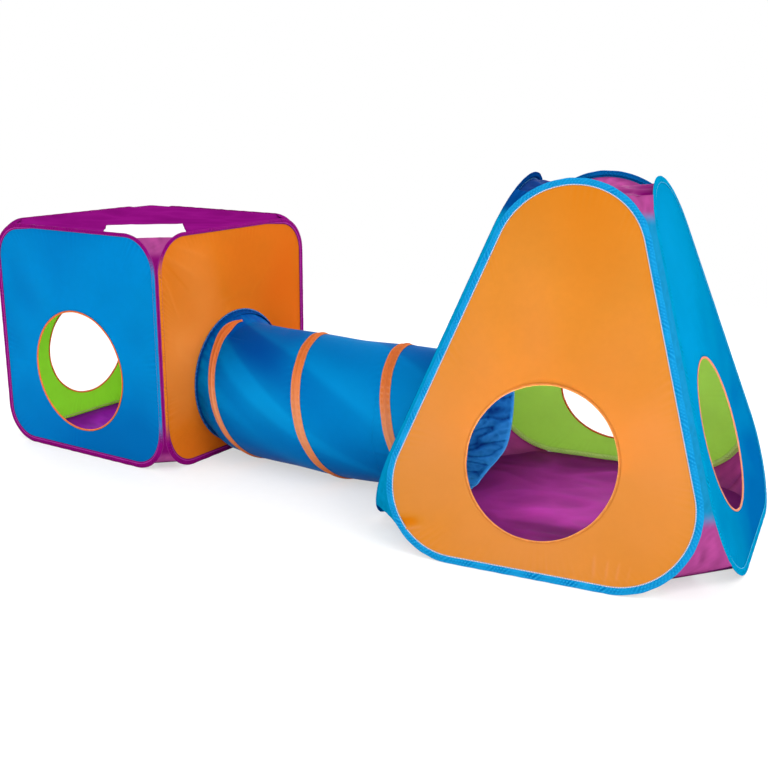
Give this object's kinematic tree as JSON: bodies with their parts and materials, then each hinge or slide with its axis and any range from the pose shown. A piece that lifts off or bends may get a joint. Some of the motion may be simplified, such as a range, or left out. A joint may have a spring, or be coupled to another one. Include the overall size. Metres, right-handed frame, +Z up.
{
  "type": "pop-up play tent set",
  "caption": "Pop-up fabric cube and pyramid play tents on folding wire hoops, joined by a coil-wire crawl tunnel, with round windows.",
  "frame": {"origin": "centre of the cube's ground sheet, on the ground", "axes": "+X from the cube through the tunnel to the pyramid tent, +Z up, -Y the side of the two front windows"},
  "size_m": [2.5014, 1.0618, 0.9673],
  "materials": {
    "purple_cloth": "satin woven polyester",
    "blue_cloth": "satin woven polyester",
    "orange_cloth": "satin woven polyester",
    "green_cloth": "satin woven polyester",
    "light_blue_cloth": "satin woven binding tape",
    "mauve_cloth": "thin woven polyester",
    "orange_binding": "folded woven binding",
    "white_net": "knitted netting",
    "spring_steel": "drawn spring steel wire"
  },
  "bodies": {
    "cube_port_wall": {"cube_port_panel": "orange_cloth", "cube_port_sleeve": "purple_cloth", "cube_port_trim": "orange_binding", "cube_port_wire": "spring_steel", "cube_port_ferrule": "spring_steel", "cube_port_collar": "blue_cloth", "cube_floor": "purple_cloth", "cube_roof": "purple_cloth", "cube_roof_net": "white_net", "cube_corner_near": "mauve_cloth", "cube_corner_right": "mauve_cloth", "tunnel_fabric": "blue_cloth", "tunnel_wire": "spring_steel", "tunnel_tape": "orange_binding"},
    "cube_front_wall": {"cube_front_panel": "blue_cloth", "cube_front_sleeve": "purple_cloth", "cube_front_trim": "orange_binding", "cube_front_wire": "spring_steel", "cube_front_ferrule": "spring_steel", "cube_corner_left": "mauve_cloth"},
    "cube_rear_wall": {"cube_rear_panel": "blue_cloth", "cube_rear_sleeve": "purple_cloth", "cube_rear_trim": "orange_binding", "cube_rear_wire": "spring_steel", "cube_rear_ferrule": "spring_steel", "cube_corner_back": "mauve_cloth"},
    "cube_far_wall": {"cube_far_panel": "green_cloth", "cube_far_sleeve": "purple_cloth", "cube_far_trim": "orange_binding", "cube_far_wire": "spring_steel", "cube_far_ferrule": "spring_steel"},
    "tent_port_wall": {"tent_port_panel": "blue_cloth", "tent_port_sleeve": "purple_cloth", "tent_port_trim": "orange_binding", "tent_port_wire": "spring_steel", "tent_port_ferrule": "spring_steel", "tent_port_collar": "blue_cloth", "tent_port_gather": "blue_cloth", "tent_floor": "purple_cloth", "tent_cap": "mauve_cloth", "tent_corner_left": "mauve_cloth", "tent_corner_back": "mauve_cloth"},
    "tent_front_wall": {"tent_front_panel": "orange_cloth", "tent_front_sleeve": "light_blue_cloth", "tent_front_trim": "orange_binding", "tent_front_wire": "spring_steel", "tent_front_ferrule": "spring_steel", "tent_corner_near": "mauve_cloth"},
    "tent_rear_wall": {"tent_rear_panel": "green_cloth", "tent_rear_sleeve": "blue_cloth", "tent_rear_trim": "orange_binding", "tent_rear_wire": "spring_steel", "tent_rear_ferrule": "spring_steel"},
    "tent_side_wall": {"tent_side_panel": "blue_cloth", "tent_side_sleeve": "blue_cloth", "tent_side_trim": "orange_binding", "tent_side_wire": "spring_steel", "tent_side_ferrule": "spring_steel", "tent_corner_right": "mauve_cloth"}
  },
  "joints": [
    {"name": "cube_fold", "type": "hinge", "parent": "cube_port_wall", "child": "cube_front_wall", "pos_m": [0.36525, -0.36525, 0], "axis": [0, 0, 1], "range_deg": [-85, 85], "deforming": ["cube_corner_near", "cube_floor", "cube_roof", "cube_roof_net"]},
    {"name": "cube_rear_fold", "type": "hinge", "parent": "cube_port_wall", "child": "cube_rear_wall", "pos_m": [0.36525, 0.36525, 0], "axis": [0, 0, 1], "range_deg": [-85, 85], "deforming": ["cube_corner_right", "cube_corner_back"]},
    {"name": "cube_far_fold", "type": "hinge", "parent": "cube_front_wall", "child": "cube_far_wall", "pos_m": [-0.36525, -0.36525, 0], "axis": [0, 0, 1], "range_deg": [-85, 85], "deforming": ["cube_corner_left"]},
    {"name": "tunnel_stretch", "type": "slide", "parent": "cube_port_wall", "child": "tent_port_wall", "axis": [1, 0, 0], "range_m": [-0.58, 0], "deforming": ["tunnel_fabric", "tunnel_wire", "tunnel_tape"]},
    {"name": "tent_fold", "type": "hinge", "parent": "tent_port_wall", "child": "tent_front_wall", "pos_m": [1.17412, -0.5018, 0], "axis": [0.2655, 0.346, 0.8999], "range_deg": [0, 80], "deforming": ["tent_corner_left", "tent_floor", "tent_cap", "tent_port_gather"]},
    {"name": "tent_rear_fold", "type": "hinge", "parent": "tent_port_wall", "child": "tent_rear_wall", "pos_m": [1.0468, 0.46528, 0], "axis": [0.346, -0.2655, 0.8999], "range_deg": [0, 75], "deforming": ["tent_corner_back"]},
    {"name": "tent_side_fold", "type": "hinge", "parent": "tent_front_wall", "child": "tent_side_wall", "pos_m": [2.1412, -0.37448, 0], "axis": [-0.346, 0.2655, 0.8999], "range_deg": [-75, 0], "deforming": ["tent_corner_near", "tent_corner_right"]}
  ],
  "couplings": [
    {"joint": "cube_rear_fold", "follows": "cube_fold", "ratio": 1},
    {"joint": "cube_far_fold", "follows": "cube_fold", "ratio": -1},
    {"joint": "tent_rear_fold", "follows": "tent_fold", "ratio": 0.93},
    {"joint": "tent_side_fold", "follows": "tent_fold", "ratio": -0.93}
  ]
}
